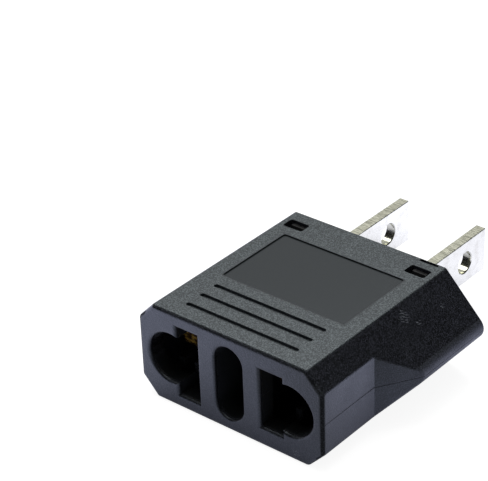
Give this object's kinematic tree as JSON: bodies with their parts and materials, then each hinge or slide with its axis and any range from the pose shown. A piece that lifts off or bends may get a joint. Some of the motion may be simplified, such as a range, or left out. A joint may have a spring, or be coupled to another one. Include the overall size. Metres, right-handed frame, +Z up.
{
  "type": "travel plug adapter",
  "caption": "Travel plug adapter: flat faceted housing with keyhole sockets and a middle slot in one end, and flat nickel-plated blades with holes at the other.",
  "frame": {"origin": "middle of the overall box on the plane of the broad face that the adapter lies on", "axes": "+Z up, out of the upper broad face; +Y from the socket face towards the blades' tips; +X to the right of a viewer who faces the socket face, towards the socket with the shorter slot"},
  "size_m": [0.0362, 0.0466, 0.014],
  "materials": {
    "housing": "spark-eroded grain on the broad faces, satin on the socket face and label recess",
    "plate": "satin",
    "blades": "nickel plate, bright",
    "contacts": "bare strip",
    "rivets": "bare"
  },
  "bodies": {
    "root": {"housing": "housing", "blade_plate": "plate", "blade_left": "blades", "blade_right": "blades", "contact_left": "contacts", "contact_right": "contacts", "rivet_left": "rivets", "rivet_right": "rivets"}
  },
  "joints": []
}
